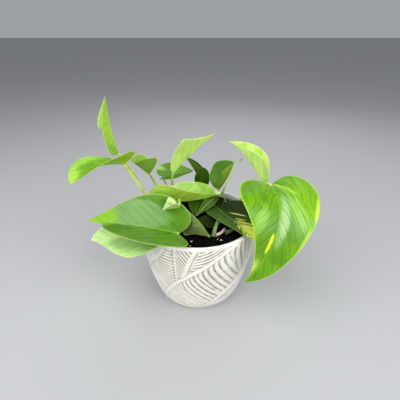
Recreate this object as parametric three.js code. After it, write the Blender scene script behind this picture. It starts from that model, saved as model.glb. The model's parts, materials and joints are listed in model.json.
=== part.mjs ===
// A small golden pothos in an open ceramic pot. Millimetres, +Z up, the viewer stands at -Y.
// The origin is the middle of the pot's flat base, on the surface that the pot stands on.

import * as THREE from 'three';
import { mergeVertices } from 'three/addons/utils/BufferGeometryUtils.js';

// Driving dimensions
const RIM_DIAMETER = 120;
const POT_HEIGHT = 94;
const BASE_DIAMETER = 74;
const WALL = 3.5;
const FLOOR = 6;
const SOIL_LEVEL = 86.3;
const GAP = 0.35;
const BLADE_THICKNESS = 0.8;
const LEAST_HALF_WIDTH = 0.5;
const BLADE_ROWS = 9;
const BLADE_COLUMNS = 3;
const PETIOLE_SIDES = 7;

const material = (color, roughness) => new THREE.MeshStandardMaterial({ color, roughness, metalness: 0 });
const CERAMIC = material(0xded9cf, 0.55);
const SOIL = material(0x1d1815, 0.95);
const LEAF = material(0x5f9a3c, 0.42);
const PALE_LEAF = material(0x9dbf7e, 0.42);
const NEW_LEAF = material(0x9cc23c, 0.4);
const PETIOLE = material(0xa3bd6a, 0.45);
const VINE = material(0x5d7d3a, 0.55);
const CUT_STEM = material(0xc9b7a0, 0.7);

// Half outlines of a leaf: distance along the midrib over its length, half width over the widest
const OUTLINES = {
  heart: [[0, 0], [-.08, .28], [-.09, .56], [0, .83], [.14, .98], [.3, 1], [.5, .87], [.7, .6],
    [.86, .29], [.95, .1], [1, 0]],
  pointed: [[0, 0], [-.08, .28], [-.09, .56], [0, .83], [.14, .98], [.3, 1], [.46, .9], [.6, .76],
    [.7, .58], [.77, .36], [.82, .15], [.9, .08], [1, 0]],
  drawn: [[0, 0], [-.06, .28], [-.09, .6], [-.03, .94], [.12, 1.09], [.28, 1.03], [.48, .82],
    [.7, .62], [.86, .44], [.95, .22], [1, 0]],
  egg: [[0, 0], [-.06, .3], [-.02, .6], [.1, .82], [.25, .95], [.43, 1], [.6, .78], [.73, .5],
    [.84, .24], [.92, .12], [1, 0]],
  blunt: [[0, 0], [-.08, .28], [-.09, .56], [0, .83], [.14, .98], [.3, 1], [.5, .95], [.7, .8],
    [.86, .52], [.95, .25], [1, 0]],
  blunt_tip: [[0, 0], [-.03, .3], [.08, .6], [.25, .82], [.45, .96], [.62, 1], [.8, .96], [.92, .7],
    [.98, .3], [1, 0]],
  broad_base: [[0, 0], [.01, .35], [.08, .72], [.25, 1], [.42, .86], [.6, .58], [.75, .33], [.9, .14],
    [1, 0]],
  broad_tip: [[0, 0], [.02, .25], [.14, .52], [.34, .84], [.55, 1], [.75, .9], [.9, .55], [1, 0]],
  lobed: [[0, 0], [-.14, .2], [-.2, .5], [-.12, .84], [.08, 1], [.3, 1], [.5, .87], [.7, .6],
    [.86, .29], [.95, .1], [1, 0]],
  ear: [[0, 0], [-.12, .04], [-.24, .07], [-.33, .14], [-.31, .28], [-.19, .43], [-.05, .5], [.12, .48],
    [.3, .47], [.48, .44], [.65, .38], [.82, .27], [1, 0]],
  round: [[0, 0], [-.05, .3], [0, .62], [.15, .88], [.4, 1], [.62, .95], [.8, .75], [.93, .42], [1, 0]],
  lance: [[0, 0], [.01, .38], [.07, .72], [.2, .95], [.38, 1], [.56, .84], [.74, .54], [.9, .22], [1, 0]],
  toothed: [[0, 0], [.03, .2], [.1, .36], [.2, .46], [.32, .48], [.43, .44], [.51, .54], [.565, .74],
    [.63, .95], [.69, .84], [.77, .68], [.9, .3], [1, 0]],
  young: [[0, 0], [.03, .2], [.12, .5], [.3, .86], [.48, 1], [.62, .8], [.78, .48], [.9, .2], [1, 0]],
  angled: [[0, 0], [0, .2], [.04, .34], [.16, .6], [.32, .84], [.5, .98], [.6, 1.02], [.68, .76],
    [.77, .47], [.87, .22], [1, 0]],
  strap: [[0, 0], [0, .45], [.03, .8], [.12, .92], [.35, 1], [.52, .9], [.68, .68], [.85, .38],
    [.95, .15], [1, 0]],
  late: [[0, 0], [.02, .3], [.15, .5], [.35, .62], [.45, .82], [.52, 1], [.66, .85], [.82, .45],
    [.94, .15], [1, 0]],
  full: [[0, 0], [.01, .25], [.08, .52], [.21, .85], [.4, 1], [.6, .85], [.78, .5], [.9, .22], [1, 0]],
  horned: [[0, 0], [.02, .4], [.06, .84], [.12, 1.28], [.2, 1.4], [.31, 1.15], [.45, .84], [.53, .68],
    [.61, .42], [.69, .22], [.82, .12], [1, 0]],
  hood: [[0, 0], [-.1, .3], [-.2, .7], [-.18, 1], [-.02, 1.08], [.15, 1.02], [.3, .95], [.5, .87],
    [.7, .6], [.86, .29], [.95, .1], [1, 0]],
  spade: [[0, 0], [-.03, .3], [.08, .6], [.25, .82], [.45, 1], [.62, 1.1], [.8, 1.02], [.92, .64],
    [.98, .24], [1, 0]],
  slanted: [[0, 0], [.05, .12], [.14, .3], [.27, .56], [.44, 1], [.58, .93], [.73, .45], [.88, .12],
    [1, 0]],
};

// Each leaf: midrib through base, mid and tip, the way its upper side faces at base and tip, its
// widest width, and for its left and right half the fold, curl, slimming to the tip, share of width
// and lift of the lobe behind the base. ease says how early a changing fold changes.
const LEAVES = [
  { name: 'leaf_front_left', base: [-17, -45, 100], mid: [-58, -42, 107.8], tip: [-103, -32, 105],
    face: [[0, -.27, 1], [0, -.2, 1]], width: 70, fold: [24, [13, 22]], share: [.86, 1.03],
    outline: ['pointed', 'heart'] },
  { name: 'leaf_lower_left', base: [-34, -38, 98.5], mid: [-66, -38, 93], tip: [-102, -34, 85],
    face: [[0, -.3, 1], [0, -.3, 1]], width: 50, fold: [2, 5], share: [1, .8],
    outline: ['egg', 'blunt_tip'], skin: PALE_LEAF },
  { name: 'leaf_large_right', base: [69, -10, 132], mid: [71, -48, 106], tip: [43.5, -57, 54],
    face: [[.2, -.5, .85], [.1, -1, .3]], width: 82, fold: [8, 8], curl: -10, slim: [.3, .7],
    share: [.97, 1.04], outline: ['drawn', 'heart'] },
  { name: 'leaf_upper_right', base: [67, 12, 122], mid: [51, 14, 147], tip: [31, 18, 166],
    face: [[.77, 0, .65], [.5, 0, .8]], width: 38, fold: [65, 58], share: [.88, 1.03], slim: [.6, 0],
    outline: 'full', skin: NEW_LEAF },
  { name: 'leaf_front_right', base: [22.4, -2, 98.8], mid: [37.5, -27.5, 99.8], tip: [50, -49, 97],
    face: [[0, 0, 1], [0, 0, 1]], width: 54, fold: [9, [-6, 20]], outline: ['lobed', 'ear'], lift: [0, 14],
    share: [1.1, 1] },
  { name: 'leaf_across', base: [-48, 2, 112], mid: [-14, -4, 111.8], tip: [24, 8, 114],
    face: [[0, 0, 1], [0, 0, 1]], width: 42, fold: [40, 76], outline: ['broad_tip', 'broad_base'] },
  { name: 'leaf_inner_drooping', base: [10.5, -36.5, 91], mid: [.3, -29, 104.4], tip: [-16.7, -14, 112.4],
    face: [[.6, 0, .8], [.6, 0, .8]], width: 34, fold: [-80, -74], share: [1.13, .9],
    outline: 'slanted' },
  { name: 'leaf_inner_pale', base: [-17.5, -24, 115.5], mid: [-24.5, -28, 116.6], tip: [-32.5, -32, 117.3],
    face: [[0, 0, 1], [0, 0, 1]], width: 20, fold: [60, 55], share: [1, 1.1],
    outline: 'young', skin: PALE_LEAF },
  { name: 'leaf_newest', base: [-75.8, 4, 158], mid: [-80.2, 5, 184], tip: [-81.5, 6, 211.5],
    face: [[-1, 0, 0], [-1, 0, 0]], width: 16, fold: [80, 78], share: [1.55, 1],
    outline: ['late', 'strap'], skin: NEW_LEAF },
  { name: 'leaf_far_left', base: [-70, 0, 150], mid: [-102, -5, 147], tip: [-119, -12, 133],
    face: [[0, -.1, 1], [-.7, -.5, .2]], width: 40, fold: [[76, -4], [-16, 12]], ease: .6,
    share: [1, .86], slim: [.45, 0], outline: ['hood', 'spade'] },
  { name: 'leaf_upper_small', base: [-48, 6, 136], mid: [-57, 8, 143], tip: [-67, 12, 149],
    face: [[.3, 0, .9], [.3, 0, .9]], width: 34, fold: [70, 60], share: [1.08, .75],
    outline: ['horned', 'broad_tip'], skin: NEW_LEAF },
  { name: 'leaf_upper_tall', base: [-24.5, 14, 134.5], mid: [-7, 16, 153.5], tip: [17, 18, 174],
    face: [[-.68, 0, .72], [-.68, 0, .72]], width: 34, fold: [70, 75], share: [.75, 1],
    outline: ['young', 'angled'], skin: NEW_LEAF },
  { name: 'leaf_back_left', base: [-38.1, 35, 119.9], mid: [-21.9, 37, 122.6], tip: [-5.5, 40, 125.9],
    face: [[0, -.2, 1], [0, -.2, 1]], width: 28, fold: [24, 22], share: [1.2, 1],
    outline: ['lobed', 'blunt'] },
  { name: 'leaf_back_narrow', base: [1.5, 50, 111], mid: [-5.5, 49, 125], tip: [-14, 48, 138],
    face: [[.7, 0, .5], [.7, 0, .5]], width: 20, fold: [60, 60] },
  { name: 'leaf_back_round', base: [3, 44, 103], mid: [4.5, 43, 116], tip: [5.5, 42, 128.5],
    face: [[0, -1, 0], [0, -1, 0]], width: 17, fold: [10, 10], outline: 'round' },
  { name: 'leaf_back_right', base: [22, 28, 108], mid: [31, 28, 123], tip: [37, 26, 141],
    face: [[-.9, .1, .4], [-.9, .1, .4]], width: 48, fold: [62, 78], share: [.9, .42],
    outline: ['round', 'toothed'] },
  { name: 'leaf_low_middle', base: [5, 10, 106], mid: [-.8, 4.6, 101.2], tip: [-2.2, -5, 95],
    face: [[0, -.4, .9], [0, -.4, .9]], width: 22, fold: [17, 14] },
  { name: 'leaf_low_pale', base: [18.8, 8.6, 111.2], mid: [9.2, -1, 106.2], tip: [-2.5, -8.1, 96.2],
    face: [[.15, -.75, .6], [.15, -.75, .6]], width: 10, fold: [10, 14], outline: 'lance', skin: PALE_LEAF },
  { name: 'leaf_low_dark', base: [18, -16, 92], mid: [8, -15, 93], tip: [-4, -13, 94.3],
    face: [[0, -.2, 1], [0, -.2, 1]], width: 26, fold: [9, 9], share: [.5, 1] },
];

// Each stem: the points that its middle follows, and its radius at the two ends
const STEMS = [
  { name: 'petiole_newest', radius: [1.2, .7],
    path: [[-34, 4, 88], [-44.5, 4.5, 104], [-54.5, 4.5, 119], [-67, 4, 147], [-70.3, 4, 154.5],
      [-74.6, 4, 157.6]] },
  { name: 'petiole_far_left', radius: [1.9, 1.5],
    path: [[-28, 0, 88], [-42, 0, 104], [-52, 0, 117], [-70, 0, 149]] },
  { name: 'petiole_upper_small', radius: [1.4, 1.1],
    path: [[-26, 16, 88], [-40, 17, 108], [-45.5, 17, 123], [-47.7, 7.5, 135]] },
  { name: 'petiole_upper_tall', radius: [1.3, 1.1],
    path: [[-20, 20, 88], [-25, 21, 108], [-27, 19, 122], [-25.2, 14.5, 133.3]] },
  { name: 'petiole_back_left', radius: [1.1, .9], path: [[-22, 26, 88], [-30, 31, 104], [-37, 34, 116]] },
  { name: 'petiole_back_narrow', radius: [1.1, .9],
    path: [[12, 38, 88], [8, 44, 98], [2.5, 49.5, 109.5]] },
  { name: 'petiole_back_round', radius: [1.1, .9], path: [[2, 36, 88], [2, 40, 96], [2.8, 43.2, 101.8]] },
  { name: 'petiole_back_right', radius: [1.5, 1.3], path: [[17, 22, 88], [19, 26, 98], [21.5, 27.5, 107]] },
  { name: 'petiole_across', radius: [1.5, 1.2], path: [[-24, -4, 88], [-34, -2, 102], [-43, 2, 110]] },
  { name: 'petiole_inner_pale', radius: [1.1, .9],
    path: [[-15, -7, 88], [-16.5, -8, 104], [-18, -10, 114.6], [-17.8, -15.5, 119.3], [-17.4, -21.9, 117]] },
  { name: 'petiole_inner_drooping', radius: [1.5, 1.2], skin: VINE,
    path: [[6, -24, 88], [8.5, -29.5, 89.4], [10.3, -34.9, 90.9]] },
  { name: 'petiole_front_left', radius: [1.5, 1.2],
    path: [[-20, -24, 88], [-21, -33, 93], [-18.5, -43, 99]] },
  { name: 'petiole_lower_left', radius: [1.5, 1.2],
    path: [[-27, -24, 88], [-31, -31, 93.5], [-33.5, -36.5, 97.5]] },
  { name: 'petiole_large_right', radius: [1.9, 1.5],
    path: [[36, 22, 88], [50, 22, 105], [61, 8, 125], [68, -8, 132]] },
  { name: 'petiole_upper_right', radius: [1.4, 1.1], path: [[44, 8, 88], [57, 10, 104], [66, 12, 121]] },
  { name: 'petiole_front_right', radius: [2, 1.5],
    path: [[14.9, -30, 88], [16.3, -27.5, 93], [18.9, -20, 96.2], [21.2, -9, 96.2], [22.1, -4.4, 97]] },
  { name: 'petiole_low_middle', radius: [1.1, .9], path: [[12, 18, 88], [11, 16, 98], [6.5, 11.5, 105]] },
  { name: 'petiole_low_pale', radius: [1.2, .9], path: [[30, 20, 88], [28, 18, 103], [20.6, 10.6, 110]] },
  { name: 'petiole_low_dark', radius: [1.1, .9],
    path: [[21, -4, 88], [21.6, -11, 90.4], [19.4, -15, 91.5]] },
  { name: 'rolled_leaf', radius: [1.3, .8], skin: NEW_LEAF,
    path: [[25, 22, 104], [31, 21.5, 122.5], [44.8, 24, 146]] },
  { name: 'vine_lying', radius: [1.8, 1.5], skin: VINE,
    path: [[27.2, -27.4, 89.8], [30.5, -25.6, 90], [34, -22.4, 89.8]] },
  { name: 'cut_stub', radius: [1.3, 1.2], skin: CUT_STEM,
    path: [[18, -30.9, 89.3], [22.7, -27.9, 90], [26.6, -21.8, 91]] },
];

const vec = (p) => new THREE.Vector3(p[0], p[1], p[2]);
const perSide = (value, side, along = 0) => {
  const v = Array.isArray(value) ? value[side] : value;
  return Array.isArray(v) ? v[0] + (v[1] - v[0]) * along : v;
};

// One point of a leaf's middle surface, t along the outline and v across from the midrib to the edge
function leafSurface(leaf) {
  const [base, mid, tip] = [vec(leaf.base), vec(leaf.mid), vec(leaf.tip)];
  const rib = new THREE.QuadraticBezierCurve3(base,
    mid.clone().multiplyScalar(2).addScaledVector(base.clone().add(tip), -0.5), tip);
  const length = base.distanceTo(tip);
  const half = leaf.width / 2;
  const outlines = [0, 1].map((side) => new THREE.SplineCurve(
    OUTLINES[perSide(leaf.outline ?? 'heart', side)].map(([s, w]) => new THREE.Vector2(s, w))));
  const [faceBase, faceTip] = leaf.face.map((f) => vec(f).normalize());

  function frame(s) {
    const at = THREE.MathUtils.clamp(s, 0, 1);
    const forward = rib.getTangent(at);
    const face = faceBase.clone().lerp(faceTip, at);
    const across = forward.clone().cross(face).normalize();
    return { forward, across, up: across.clone().cross(forward) };
  }

  return function point(t, v, side) {
    const [edge, reach] = outlines[side].getPoint(t).toArray();
    const start = t ** 1.4;
    const s = start + (edge - start) * v ** 1.2;
    const taper = perSide(leaf.share ?? 1, side) * (1 - perSide(leaf.slim ?? 0, side) * t * t);
    const w = v * Math.max(reach * half * taper, LEAST_HALF_WIDTH);
    const changed = THREE.MathUtils.clamp(s, 0, 1) ** (leaf.ease ?? 1);
    const fold = THREE.MathUtils.degToRad(perSide(leaf.fold, side, changed));
    const bend = THREE.MathUtils.degToRad(leaf.curl ?? 0) / half;
    const out = bend ? (Math.sin(fold + bend * w) - Math.sin(fold)) / bend : w * Math.cos(fold);
    const rise = bend ? (Math.cos(fold) - Math.cos(fold + bend * w)) / bend : w * Math.sin(fold);
    const { forward, across, up } = frame(s);
    const lift = THREE.MathUtils.degToRad(perSide(leaf.lift ?? 0, side));
    const behind = Math.min(s, 0) * length;
    const p = rib.getPoint(Math.max(s, 0)).addScaledVector(forward, behind * Math.cos(lift));
    p.addScaledVector(across, side ? out : -out).addScaledVector(up, rise - behind * Math.sin(lift));
    return { p, w, fold };
  };
}

// A leaf blade: its surface made into a thin closed solid, thinner where the fold leaves less room
function blade(leaf) {
  const point = leafSurface(leaf);
  const columns = 2 * BLADE_COLUMNS + 1;
  const upper = [];
  const lower = [];
  const at = (t, j) => point(t, Math.abs(j) / BLADE_COLUMNS, j > 0 ? 1 : 0);
  for (let k = 1; k < BLADE_ROWS; k++) {
    const t = k / BLADE_ROWS;
    for (let j = -BLADE_COLUMNS; j <= BLADE_COLUMNS; j++) {
      const { p, w, fold } = at(t, j);
      const side = j === 0 ? [1, -1] : [Math.sign(j)];
      const normal = new THREE.Vector3();
      for (const sign of side) {
        const out = at(t, j + (Math.abs(j) === BLADE_COLUMNS ? 0 : sign)).p.sub(
          Math.abs(j) === BLADE_COLUMNS ? at(t, j - sign).p : p);
        const ahead = at(t + 0.5 / BLADE_ROWS, j).p.sub(at(t - 0.2 / BLADE_ROWS, j).p);
        normal.add(out.cross(ahead).multiplyScalar(sign).normalize());
      }
      normal.normalize();
      const room = j === 0 ? 0.1 + 0.3 * Math.min(1, t * 4) * Math.min(1, (1 - t) * 4)
        : Math.min(1, 0.6 * w / Math.max(Math.tan(Math.abs(fold)), 0.3));
      const h = Math.min(BLADE_THICKNESS / 2, room);
      upper.push(p.clone().addScaledVector(normal, h));
      lower.push(p.clone().addScaledVector(normal, -h));
    }
  }
  const count = upper.length;
  const ends = [vec(leaf.tip), vec(leaf.base)];
  const positions = [...upper, ...lower, ...ends].flatMap((p) => p.toArray());
  const faces = [];
  const quad = (a, b, c, d) => faces.push(a, b, c, a, c, d);
  const last = (BLADE_ROWS - 2) * columns;
  for (let k = 0; k < BLADE_ROWS - 2; k++) {
    for (let j = 0; j < columns - 1; j++) {
      const a = k * columns + j;
      quad(a, a + 1, a + columns + 1, a + columns);
      quad(a + count, a + columns + count, a + columns + 1 + count, a + 1 + count);
    }
    for (const j of [0, columns - 1]) {
      const a = k * columns + j;
      if (j === 0) quad(a, a + columns, a + columns + count, a + count);
      else quad(a, a + count, a + columns + count, a + columns);
    }
  }
  // The rows close to a point at the tip and at the base
  for (const [row, end] of [[last, 2 * count], [0, 2 * count + 1]]) {
    const fan = (a, b) => (row ? faces.push(a, b, end) : faces.push(b, a, end));
    for (let j = row; j < row + columns - 1; j++) {
      fan(j, j + 1);
      fan(j + 1 + count, j + count);
    }
    fan(row + count, row);
    fan(row + columns - 1, row + columns - 1 + count);
  }
  const geometry = new THREE.BufferGeometry();
  geometry.setAttribute('position', new THREE.Float32BufferAttribute(positions, 3));
  geometry.setIndex(faces);
  geometry.computeVertexNormals();
  return geometry;
}

// A stem: a round section swept along its path, tapered from one end to the other
function stem({ path, radius }) {
  const curve = new THREE.CatmullRomCurve3(path.map(vec), false, 'catmullrom');
  const steps = Math.max(6, Math.round(curve.getLength() / 6));
  const section = new THREE.Shape();
  for (let i = 0; i < PETIOLE_SIDES; i++) {
    const a = i / PETIOLE_SIDES * 2 * Math.PI;
    section[i ? 'lineTo' : 'moveTo'](radius[0] * Math.cos(a), radius[0] * Math.sin(a));
  }
  section.closePath();
  let geometry = new THREE.ExtrudeGeometry(section,
    { extrudePath: curve, steps, bevelEnabled: false, curveSegments: 1 });
  geometry.deleteAttribute('normal');
  geometry.deleteAttribute('uv');
  geometry = mergeVertices(geometry, 1e-4);
  const position = geometry.attributes.position;
  const centres = curve.getSpacedPoints(steps);
  for (let i = 0; i < position.count; i++) {
    const p = new THREE.Vector3().fromBufferAttribute(position, i);
    let nearest = 0;
    centres.forEach((c, k) => { if (c.distanceTo(p) < centres[nearest].distanceTo(p)) nearest = k; });
    const scale = 1 + (radius[1] / radius[0] - 1) * nearest / steps;
    p.sub(centres[nearest]).multiplyScalar(scale).add(centres[nearest]);
    position.setXYZ(i, p.x, p.y, p.z);
  }
  geometry.computeVertexNormals();
  return geometry;
}

// A body of revolution about the pot's axis, from a half section that starts and ends on the axis
function turned(profile, segments) {
  const geometry = new THREE.LatheGeometry(profile.map(([r, z]) => new THREE.Vector2(r, z)), segments);
  geometry.rotateX(Math.PI / 2);
  return geometry;
}

const rim = RIM_DIAMETER / 2;
const foot = BASE_DIAMETER / 2;
const outside = [[foot, 0], [foot + 4, 4.5], [foot + 9, 14], [rim - 7, 38], [rim - 2, 66], [rim - .5, 84],
  [rim, POT_HEIGHT - 1.2], [rim - .6, POT_HEIGHT]];
const inside = outside.slice(2, 6).map(([r, z]) => [r - WALL, z + 1]);
const floorEdge = [foot - 1, FLOOR];
const pot = turned([[0, 0], ...outside, [rim - WALL + .6, POT_HEIGHT], [rim - WALL, POT_HEIGHT - 1.2],
  ...inside.slice().reverse(), floorEdge, [0, FLOOR]], 48);
const soil = turned([[0, FLOOR + GAP], [floorEdge[0] - GAP, FLOOR + GAP],
  ...inside.map(([r, z]) => [r - GAP, z]), [rim - WALL - .4 - GAP, SOIL_LEVEL], [0, SOIL_LEVEL]], 48);

const plant = new THREE.Group();
function add(name, geometry, skin) {
  const mesh = new THREE.Mesh(geometry, skin);
  mesh.name = name;
  plant.add(mesh);
}
add('pot', pot, CERAMIC);
add('soil', soil, SOIL);
for (const leaf of LEAVES) add(leaf.name, blade(leaf), leaf.skin ?? LEAF);
for (const item of STEMS) add(item.name, stem(item), item.skin ?? PETIOLE);

export default plant;
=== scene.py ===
"""A small golden pothos in a ceramic pot with a leaf relief.

Shapes are worked out in millimetres and made in metres. +Z is up and the viewer stands at -Y.
"""
import json
import math
import random

import bmesh
import bpy
import numpy as np
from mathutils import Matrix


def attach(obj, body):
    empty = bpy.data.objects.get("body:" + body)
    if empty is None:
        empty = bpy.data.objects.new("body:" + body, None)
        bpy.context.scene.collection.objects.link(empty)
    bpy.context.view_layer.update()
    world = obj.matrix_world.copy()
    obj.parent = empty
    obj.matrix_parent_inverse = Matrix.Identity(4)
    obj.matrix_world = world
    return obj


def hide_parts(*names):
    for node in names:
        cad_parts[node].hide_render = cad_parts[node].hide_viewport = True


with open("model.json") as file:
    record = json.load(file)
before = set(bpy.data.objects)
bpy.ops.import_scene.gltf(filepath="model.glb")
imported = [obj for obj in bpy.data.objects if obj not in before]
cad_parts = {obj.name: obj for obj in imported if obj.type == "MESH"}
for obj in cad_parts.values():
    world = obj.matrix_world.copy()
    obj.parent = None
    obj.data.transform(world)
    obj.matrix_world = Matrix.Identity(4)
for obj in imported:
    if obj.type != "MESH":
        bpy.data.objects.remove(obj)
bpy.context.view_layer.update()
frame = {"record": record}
MM = 0.001

# Camera: a 30 mm lens on a 36 mm sensor, above and in front of the pot
CAMERA_AT = (2, -295, 270)
CAMERA_PITCH = 28.4
LENS = 30
SENSOR = 36

# Pot, as radius and height: the outer and inner wall, and the oval section of the lip on top of them
OUTSIDE = [(37, 0), (41, 4.5), (46, 14), (53, 38), (58, 66), (59.5, 84), (60, 92.8)]
INSIDE = [(56, 85), (54.5, 67), (49.5, 39), (42.5, 15), (36, 6)]
LIP_AT, LIP_SIZE = (58.25, 92.8), (1.75, 1.2)
LIP_ANGLES = (25, 50, 75, 105, 130, 155)
UNDERSIDE_RADII = (10., 24., 35.)
FLOOR_RADIUS, FLOOR_HEIGHT = 18., 6.
POT_COLUMNS, POT_ROWS = 466, 186
# Above INSIDE the wall goes out by 1 mm for each so many mm up, and has bands of painted shadow lines under
# the lip: how dark, at what height
INSIDE_RISE = 15.6
INSIDE_SHADOW_BANDS = [(0, 92.2), (0, 91.6), (.4, 91), (0, 90.4), (0, 89.2), (.9, 88.5), (.9, 87.9), (.3, 87)]

# Soil: about the height of its top, the radii of the first and last ring there, and its side down the wall
SOIL_TOP = 86.6
SOIL_RADII = (.6, 55.7)
SOIL_SIDE = [(54.2, 66), (49, 38.5), (42, 15), (35.6, 6.4)]
SOIL_RINGS, SOIL_COLUMNS = 70, 220

# Half outlines of a leaf: distance along the midrib over its length, and half width over the widest. Each
# also starts at 0, 0 and ends at 1, 0. A distance below 0 is a lobe behind the stalk
OUTLINES = {
    "heart": [(-.08, .28), (-.09, .56), (0, .83), (.14, .98), (.3, 1), (.5, .87), (.7, .6), (.86, .29),
              (.95, .1)],
    "blunt": [(-.08, .28), (-.09, .56), (0, .83), (.14, .98), (.3, 1), (.5, .95), (.7, .8), (.86, .52),
              (.95, .25)],
    "broad_base": [(.01, .35), (.08, .72), (.25, 1), (.42, .86), (.6, .58), (.75, .33), (.9, .14)],
    "broad_tip": [(.02, .25), (.14, .52), (.34, .84), (.55, 1), (.75, .9), (.9, .55)],
    "lobed": [(-.14, .2), (-.2, .5), (-.12, .84), (.08, 1), (.3, 1), (.5, .87), (.7, .6), (.86, .29),
              (.95, .1)],
    "round": [(-.05, .3), (0, .62), (.15, .88), (.4, 1), (.62, .95), (.8, .75), (.93, .42)],
    "young": [(.03, .2), (.12, .5), (.3, .86), (.48, 1), (.62, .8), (.78, .48), (.9, .2)],
    "strap": [(0, .45), (.03, .8), (.12, .92), (.35, 1), (.52, .9), (.68, .68), (.85, .38), (.95, .15)],
    "full": [(.01, .25), (.08, .52), (.21, .85), (.4, 1), (.6, .85), (.78, .5), (.9, .22)],
    "late": [(.02, .3), (.15, .5), (.35, .62), (.45, .82), (.52, 1), (.66, .85), (.82, .45), (.94, .15)],
    "angled": [(0, .2), (.04, .34), (.16, .6), (.32, .84), (.5, .98), (.6, 1.02), (.68, .76), (.77, .47),
               (.87, .22)],
    "blunt_tip": [(-.03, .3), (.08, .6), (.25, .82), (.45, .96), (.62, 1), (.8, .96), (.92, .7), (.98, .3)],
    "ear": [(-.1, -.22), (-.19, -.42), (-.29, -.54), (-.38, -.52), (-.41, -.36), (-.37, -.1), (-.29, .2),
            (-.19, .42), (-.07, .5), (.05, .48), (.16, .47), (.27, .47), (.38, .46), (.49, .44), (.6, .4),
            (.71, .34), (.82, .27), (.92, .15)],
    "pointed": [(-.08, .28), (-.09, .56), (0, .83), (.14, .98), (.3, 1), (.46, .9), (.6, .76), (.7, .58),
                (.77, .36), (.82, .1), (.9, .03)],
    "egg": [(-.06, .3), (-.02, .6), (.1, .82), (.25, .95), (.43, 1), (.6, .78), (.73, .5), (.84, .24),
            (.92, .08)],
    "drawn": [(-.06, .28), (-.09, .6), (-.03, .94), (.12, 1.09), (.28, 1.03), (.48, .82), (.7, .62),
              (.86, .44), (.95, .22)],
    "horned": [(.02, .4), (.06, .84), (.12, 1.28), (.2, 1.4), (.31, 1.15), (.45, .84), (.53, .68), (.61, .42),
               (.69, .18), (.82, .07)],
    "hood": [(-.1, .3), (-.2, .7), (-.18, 1), (-.02, 1.08), (.15, 1.02), (.3, .95), (.5, .87), (.7, .6),
             (.86, .29), (.95, .1)],
    "spade": [(-.03, .3), (.08, .6), (.25, .82), (.45, 1), (.62, 1.1), (.8, 1.02), (.92, .64), (.98, .24)],
    "slanted": [(.05, .12), (.14, .3), (.27, .56), (.44, 1), (.58, .93), (.73, .45), (.88, .12)],
    "lance": [(.01, .38), (.07, .72), (.2, .95), (.38, 1), (.56, .84), (.74, .54), (.9, .22)],
    "toothed": [(.03, .2), (.1, .36), (.2, .46), (.32, .48), (.43, .44), (.51, .54), (.565, .74), (.63, .95),
                (.69, .84), (.77, .68), (.9, .3)],
}

# Leaf looks. Colours are 0-255 screen values: upper side, its darker and lighter mottling, the variegation
# and its amount, the underside and the margin. fibre, vein and rib are how strongly the fine lines, side
# veins and midrib show, gloss is the specular level, and dull is added to the roughness
PLAIN_LOOK = dict(fibre=.5, vein=.42, rib=.4, gloss=.3)
LOOKS = {
    "mid": dict(main=(74, 122, 12), dark=(52, 96, 8), light=(86, 134, 20), streak=(146, 182, 46),
                amount=.03, under=(120, 152, 40), margin=(150, 185, 80), vein=.2),
    "pale": dict(main=(136, 178, 88), dark=(98, 144, 44), light=(170, 204, 124), streak=(202, 226, 156),
                 amount=.5, under=(166, 196, 108), margin=(204, 224, 150)),
    "lime": dict(main=(88, 139, 0), dark=(46, 92, 0), light=(106, 160, 4), streak=(205, 225, 40),
                 amount=-.2, under=(146, 188, 30), margin=(164, 204, 50), fibre=.35, vein=.52, rib=.2),
    "young": dict(main=(146, 192, 46), dark=(112, 164, 22), light=(184, 220, 96), streak=(218, 242, 150),
                  amount=.25, under=(150, 196, 56), margin=(210, 236, 130)),
    # The dark look paints shade: its colours are darker than mid because its leaves lie in shade, low in the
    # middle and at the back
    "dark": dict(main=(48, 82, 6), dark=(26, 54, 2), light=(60, 98, 12), streak=(120, 150, 40),
                 amount=.03, under=(92, 122, 30), margin=(110, 140, 60), gloss=.1, dull=.25),
    "olive": dict(main=(124, 170, 54), dark=(92, 138, 26), light=(156, 196, 94), streak=(190, 214, 84),
                  amount=.12, under=(154, 190, 56), margin=(178, 210, 88)),
}
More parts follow.
